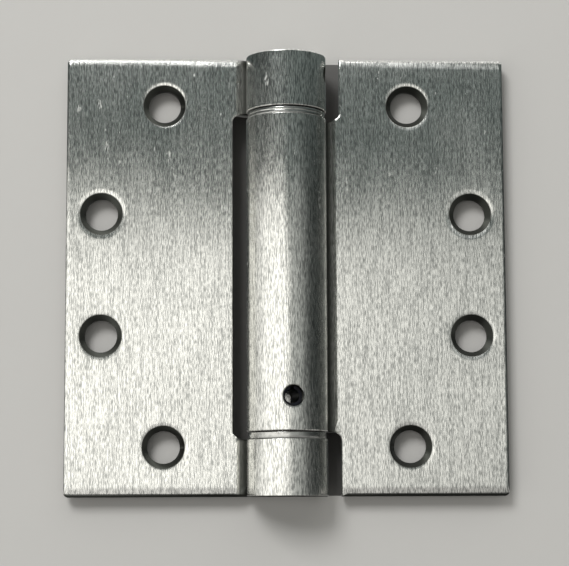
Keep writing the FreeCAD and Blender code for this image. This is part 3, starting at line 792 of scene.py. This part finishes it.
def turned_steel(colours, ring_pitch=0.35 * MM):
    """Turned steel: tool marks in rings about the axis, with an oily tint in patches."""
    nodes = material_nodes("turned_steel")
    x, y, z = nodes.add("ShaderNodeSeparateXYZ", {"Vector": nodes.place()}).outputs
    square = nodes.math("ADD", nodes.math("MULTIPLY", x, x), nodes.math("MULTIPLY", y, y))
    travel = nodes.math("ADD", nodes.math("SQRT", square), z)
    rings = nodes.math("SINE", nodes.math("MULTIPLY", travel, 2 * math.pi / ring_pitch))
    patch = nodes.noise(260.0, 260.0, detail=4.0)
    oily = toned(colours.turned, 0.6)
    return nodes.metal({
        "Base Color": nodes.blend(nodes.ramp(patch, 0.35, 0.7), colours.turned, oily),
        "Roughness": nodes.ramp(patch, 0.3, 0.7, 0.26, 0.46),
        "Normal": nodes.bump(nodes.weigh(rings, 0.4, patch), 0.3, 0.02 * MM),
    })


def spring_steel(colours):
    """Dark tempered wire with a drawn grain and bluish patches; its darkness is also painted shade where the
    anchor pin shows in its hole.
    """
    nodes = material_nodes("spring_steel")
    patch = nodes.noise(180.0, 180.0, detail=3.0)
    grain = nodes.noise(1500.0, 4000.0)
    red, green, blue = colours.spring
    bluish = (0.5 * red, 0.6 * green, 0.9 * blue)
    return nodes.metal({
        "Base Color": nodes.blend(nodes.ramp(patch, 0.35, 0.65), colours.spring, bluish),
        "Roughness": nodes.ramp(grain, 0.3, 0.7, 0.3, 0.5),
        "Normal": nodes.bump(grain, 0.2, 0.02 * MM),
    })


def bush_bronze(colours):
    """Sintered bronze: close pores and oil-dark patches."""
    nodes = material_nodes("bush_bronze")
    pores = nodes.noise(3800.0, 3800.0)
    patch = nodes.noise(240.0, 240.0, detail=3.0)
    oily = toned(colours.bronze, 0.55)
    return nodes.metal({
        "Base Color": nodes.blend(nodes.ramp(patch, 0.35, 0.7), colours.bronze, oily),
        "Roughness": nodes.ramp(pores, 0.3, 0.7, 0.35, 0.6),
        "Normal": nodes.bump(pores, 0.35, 0.03 * MM),
    })


# Stage.

def matt_paint(name, tone):
    """Plain matt surface that lets a look from behind through."""
    nodes = material_nodes(name)
    grain = nodes.noise(400.0, 400.0, detail=3.0)
    shader = nodes.add("ShaderNodeBsdfPrincipled", {
        "Base Color": nodes.blend(grain, tone, toned(tone, 0.985)),
        "Roughness": 0.9,
        "Specular IOR Level": 0.1,
    }).outputs[0]
    behind = nodes.add("ShaderNodeNewGeometry").outputs["Backfacing"]
    clear = nodes.add("ShaderNodeBsdfTransparent").outputs[0]
    one_sided = nodes.add("ShaderNodeMixShader", {0: behind, 1: shader, 2: clear}).outputs[0]
    nodes.give(nodes.surface, one_sided)
    return nodes.owner


def floor_plate(name, wide, high, depth, material):
    """Flat plate that faces the camera's side, between two values of x and two of z, at one depth.

    Only the camera sees it, so it hides nothing from the light and shows no edge in a reflection.
    """
    (left, right), (low, top) = wide, high
    points = [(left, depth, low), (right, depth, low), (right, depth, top), (left, depth, top)]
    mesh = bpy.data.meshes.new(name)
    mesh.from_pydata(points, [], [(0, 1, 2, 3)])
    mesh.materials.append(material)
    plate = new_object(name, mesh)
    plate.visible_diffuse = plate.visible_glossy = plate.visible_transmission = plate.visible_shadow = False


def floor_boards(stage, reach):
    """Floor behind the leaves, with a pocket for the barrel that goes past the reach of the notches; the
    pocket's bottom is painted shade.
    """
    paint = matt_paint("floor", stage.floor)
    end_lap, side_lap, barrel_gap = 0.2 * MM, 1 * MM, 0.1 * MM
    half, slot, end = stage.board_half, reach + stage.pocket_clear, leaf_half - end_lap
    boards = {
        "left": ((-half, -slot), (-half, half)), "right": ((slot, half), (-half, half)),
        "upper": ((-slot, slot), (end, half)), "lower": ((-slot, slot), (-half, -end)),
    }
    for name, (wide, high) in boards.items():
        floor_plate(f"floor_{name}", wide, high, back_face + stage.board_gap, paint)
    wide, high = slot + side_lap, end + 2 * side_lap
    # A darker copy of the floor's paint: painted shade in the pocket.
    bottom = matt_paint("pocket", toned(stage.floor, stage.pocket_painted_shade))
    floor_plate("floor_pocket", (-wide, wide), (-high, high), barrel_radius + barrel_gap, bottom)


# Surroundings by a part of a ray's direction: where a change starts and ends, and its values if not 0 and 1.
BAND_TOP = (0.137, 0.158, 1.0, 0.0)
BAND_DOOR_SIDE = (0.02, 0.1, 1.0, 0.25)
BAND_BACK = (-0.8, 0.95, 1.0, 0.0)
ROOM_DOOR_END = (0.4, 1.0, 1.0, 0.05)
ROOM_JAMB_END = (-0.9, -0.4)
ROOM_BACK = (0.2, 0.7, 1.0, 0.0)
ROOM_LOW = (0.16, 0.26, 0.0, 0.9)
DOME_EDGE = (0.36, 0.56)
HORIZON = (-0.04, -0.01)
GROUND_NEAR = (-0.32, -0.14)
GROUND_DOOR_SIDE = (0.0, 0.08)
BEHIND = (-0.1, 0.1)
BESIDE = (0.2, 0.4)

# How the band's top rises and the ground's edge sinks to both sides, by the part along x.
BAND_SLOPES, BAND_RISE = (-0.13, 0.06), 0.026
GROUND_SLOPE = 0.9

# Tones next to the own colour: the room low and at its end, the ground by jamb, by door, behind and deep.
ROOM_TONES = (0.2, 0.5)
GROUND_TONES = (1.9, 0.8, 0.2, 0.3)


def upper_surroundings(nodes, stage, x, y, z):
    """A dark room, darker at its ends and low at its back, a bright band on the jamb side, and a dome."""
    aside = nodes.ramp(x, *ROOM_DOOR_END)
    lit = nodes.math("MULTIPLY", aside, nodes.ramp(y, *ROOM_BACK))
    low, end = (toned(stage.room, part) for part in ROOM_TONES)
    dim = nodes.blend(nodes.ramp(z, *ROOM_LOW), low, stage.room)
    room = nodes.blend(nodes.ramp(x, *ROOM_JAMB_END), end, nodes.blend(lit, dim, stage.room))
    rises = [nodes.math("MULTIPLY", x, slope) for slope in BAND_SLOPES]
    rise = nodes.math("MINIMUM", nodes.math("MAXIMUM", *rises), BAND_RISE)
    band = nodes.product(nodes.ramp(nodes.math("SUBTRACT", z, rise), *BAND_TOP),
                         nodes.ramp(x, *BAND_DOOR_SIDE), aside, nodes.ramp(y, *BAND_BACK))
    return nodes.blend(nodes.ramp(z, *DOME_EDGE), nodes.blend(band, room, stage.band), stage.dome)


def lower_surroundings(nodes, stage, x, near, behind):
    """Pale ground, brightest in front on the jamb side, and dark where it is deep or behind the hinge."""
    jamb, door, back, deep = (toned(stage.ground, part) for part in GROUND_TONES)
    front = nodes.blend(nodes.ramp(x, *GROUND_DOOR_SIDE), jamb, door)
    return nodes.blend(near, deep, nodes.blend(behind, front, back))


def surroundings(stage):
    """World: a room with a bright band and a dome above the horizon, and ground below it.

    The camera sees a plain backdrop instead, and so does metal that mirrors what lies low behind the
    hinge. Only the camera sees the floor, so the world behind it gives no light to paths that the floor
    has scattered.
    """
    nodes = NodeTree(bpy.data.worlds.new("surroundings"), "ShaderNodeOutputWorld")
    ray = nodes.add("ShaderNodeTexCoord").outputs["Generated"]
    x, y, z = nodes.add("ShaderNodeSeparateXYZ", {"Vector": ray}).outputs
    sideways = nodes.math("ABSOLUTE", x)
    depth = nodes.math("ADD", z, nodes.math("MULTIPLY", sideways, GROUND_SLOPE))
    behind, beside = nodes.ramp(y, *BEHIND), nodes.ramp(sideways, *BESIDE)
    near, above = nodes.ramp(depth, *GROUND_NEAR), nodes.ramp(z, *HORIZON)
    tone = nodes.blend(above, lower_surroundings(nodes, stage, x, near, behind),
                       upper_surroundings(nodes, stage, x, y, z))
    path = nodes.add("ShaderNodeLightPath").outputs
    mirrored = nodes.product(nodes.math("MAXIMUM", path["Is Glossy Ray"], path["Is Transmission Ray"]),
                             behind, beside, near, nodes.math("SUBTRACT", 1.0, above))
    backdrop = nodes.math("MAXIMUM", path["Is Camera Ray"], mirrored)
    scattered = nodes.math("MINIMUM", path["Diffuse Depth"], 1.0)
    hidden = nodes.math("MULTIPLY", scattered, nodes.math("GREATER_THAN", y, 0.0))
    glow = nodes.add("ShaderNodeBackground", {
        "Color": nodes.blend(backdrop, tone, stage.floor),
        "Strength": nodes.math("SUBTRACT", 1.0, hidden),
    })
    nodes.give(nodes.surface, glow.outputs[0])
    bpy.context.scene.world = nodes.owner


def overhead_lamp(stage):
    """Square lamp that faces the hinge's middle."""
    lamp = bpy.data.lights.new("overhead", "AREA")
    lamp.size = stage.lamp_size
    lamp.energy = stage.overhead
    holder = new_object("overhead", lamp)
    holder.location = stage.lamp_place
    holder.rotation_euler = holder.location.to_track_quat("Z", "Y").to_euler()
    holder.visible_camera = False


def photo_camera(stage):
    """Camera with the photograph's place, turn and focal length, for a frame as wide as the photograph."""
    view = bpy.data.cameras.new("photo_camera")
    view.sensor_fit = "HORIZONTAL"
    view.lens = stage.focal_pixels * view.sensor_width / PHOTO_WIDTH
    view.clip_start = 1 * MM
    camera = new_object("photo_camera", view)
    pitch, roll, yaw = (Matrix.Rotation(turn, 3, axis) for turn, axis in zip(stage.camera_turn, "XYZ"))
    level = Matrix.Rotation(math.pi / 2, 3, "X")
    camera.rotation_euler = ((pitch @ roll @ yaw).transposed() @ level).to_euler()
    camera.location = stage.camera_place
    bpy.context.scene.camera = camera


# Operators, each for one piece or group of like pieces.

def finish_piece(piece, body, node, material):
    """Put a piece on its body in place of its solid, with one finish."""
    piece.data.materials.append(material)
    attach(piece, body)
    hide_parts(node)


class HINGE_OT_leaves(bpy.types.Operator):
    """Cut and bend the two leaves"""

    bl_idname = "hinge.leaves"
    bl_label = "Leaves"

    def execute(self, context):
        sizes = context.scene.hinge_sheet
        chrome = satin_chrome(context.scene.hinge_finishes)
        finish_piece(jamb_leaf_piece(sizes), "jamb_leaf", "jamb_leaf", chrome)
        finish_piece(door_leaf_piece(sizes), "door_leaf", "door_leaf", chrome)
        return {"FINISHED"}


class HINGE_OT_washers(bpy.types.Operator):
    """Turn the washers between the knuckles"""

    bl_idname = "hinge.washers"
    bl_label = "Washers"

    def execute(self, context):
        steel = bright_steel(context.scene.hinge_finishes)
        bodies = {
            "lower_washer": "jamb_leaf", "upper_washer_plain": "door_leaf", "upper_washer_slip": "door_leaf",
        }
        for node, body in bodies.items():
            piece = washer_piece(node, context.scene.hinge_washers)
            finish_piece(piece, body, node, steel)
        return {"FINISHED"}


class HINGE_OT_spring(bpy.types.Operator):
    """Wind the torsion spring, which twists between the door leaf and the hub"""

    bl_idname = "hinge.spring"
    bl_label = "Spring"

    def execute(self, context):
        piece = spring_piece(context.scene.hinge_spring)
        piece.data.materials.append(spring_steel(context.scene.hinge_finishes))
        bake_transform(piece)
        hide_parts("torsion_spring")
        return {"FINISHED"}


class HINGE_OT_inner_parts(bpy.types.Operator):
    """Finish the hub, pivot, pins and bushes, which keep their solids"""

    bl_idname = "hinge.inner_parts"
    bl_label = "Inner parts"

    def execute(self, context):
        colours = context.scene.hinge_finishes
        turned, bronze, spring = turned_steel(colours), bush_bronze(colours), spring_steel(colours)
        finishes = {
            "adjusting_hub": turned, "bottom_pivot": turned, "anchor_plug": turned, "pivot_lock_pin": turned,
            "anchor_pin": spring, "hub_retaining_ring": spring, "upper_bush": bronze, "lower_bush": bronze,
        }
        for node, material in finishes.items():
            for slot in frame["nodes"][node].material_slots:
                slot.material = material
        return {"FINISHED"}


class HINGE_OT_stage(bpy.types.Operator):
    """Set up the floor, light and camera"""

    bl_idname = "hinge.stage"
    bl_label = "Stage"

    def execute(self, context):
        stage = context.scene.hinge_stage
        floor_boards(stage, barrel_radius + context.scene.hinge_sheet.notch_clear)
        surroundings(stage)
        overhead_lamp(stage)
        photo_camera(stage)
        context.scene.view_settings.view_transform = "Standard"
        return {"FINISHED"}


class HINGE_PT_panel(bpy.types.Panel):
    """Sizes and finishes of the hinge, with a button for each group of pieces"""

    bl_idname = "HINGE_PT_panel"
    bl_label = "Spring hinge"
    bl_space_type = "VIEW_3D"
    bl_region_type = "UI"
    bl_category = "Hinge"

    def draw(self, context):
        for group, _ in GROUPS:
            box = self.layout.box()
            settings = getattr(context.scene, group)
            for name in settings.__annotations__:
                box.prop(settings, name)
        for operator in OPERATORS:
            self.layout.operator(operator.bl_idname)


GROUPS = [
    ("hinge_sheet", HingeSheetSizes),
    ("hinge_washers", HingeWasherSizes),
    ("hinge_spring", HingeSpringSizes),
    ("hinge_finishes", HingeFinishes),
    ("hinge_stage", HingeStage),
]
OPERATORS = [HINGE_OT_leaves, HINGE_OT_washers, HINGE_OT_spring, HINGE_OT_inner_parts, HINGE_OT_stage]
CLASSES = [group for _, group in GROUPS] + OPERATORS + [HINGE_PT_panel]


def register():
    for item in CLASSES:
        bpy.utils.register_class(item)
    for name, group in GROUPS:
        setattr(bpy.types.Scene, name, PointerProperty(type=group))


def unregister():
    for name, _ in GROUPS:
        delattr(bpy.types.Scene, name)
    for item in reversed(CLASSES):
        bpy.utils.unregister_class(item)


def main():
    register()
    bpy.ops.hinge.leaves()
    bpy.ops.hinge.washers()
    bpy.ops.hinge.spring()
    bpy.ops.hinge.inner_parts()
    bpy.ops.hinge.stage()


if __name__ == "__main__":
    main()
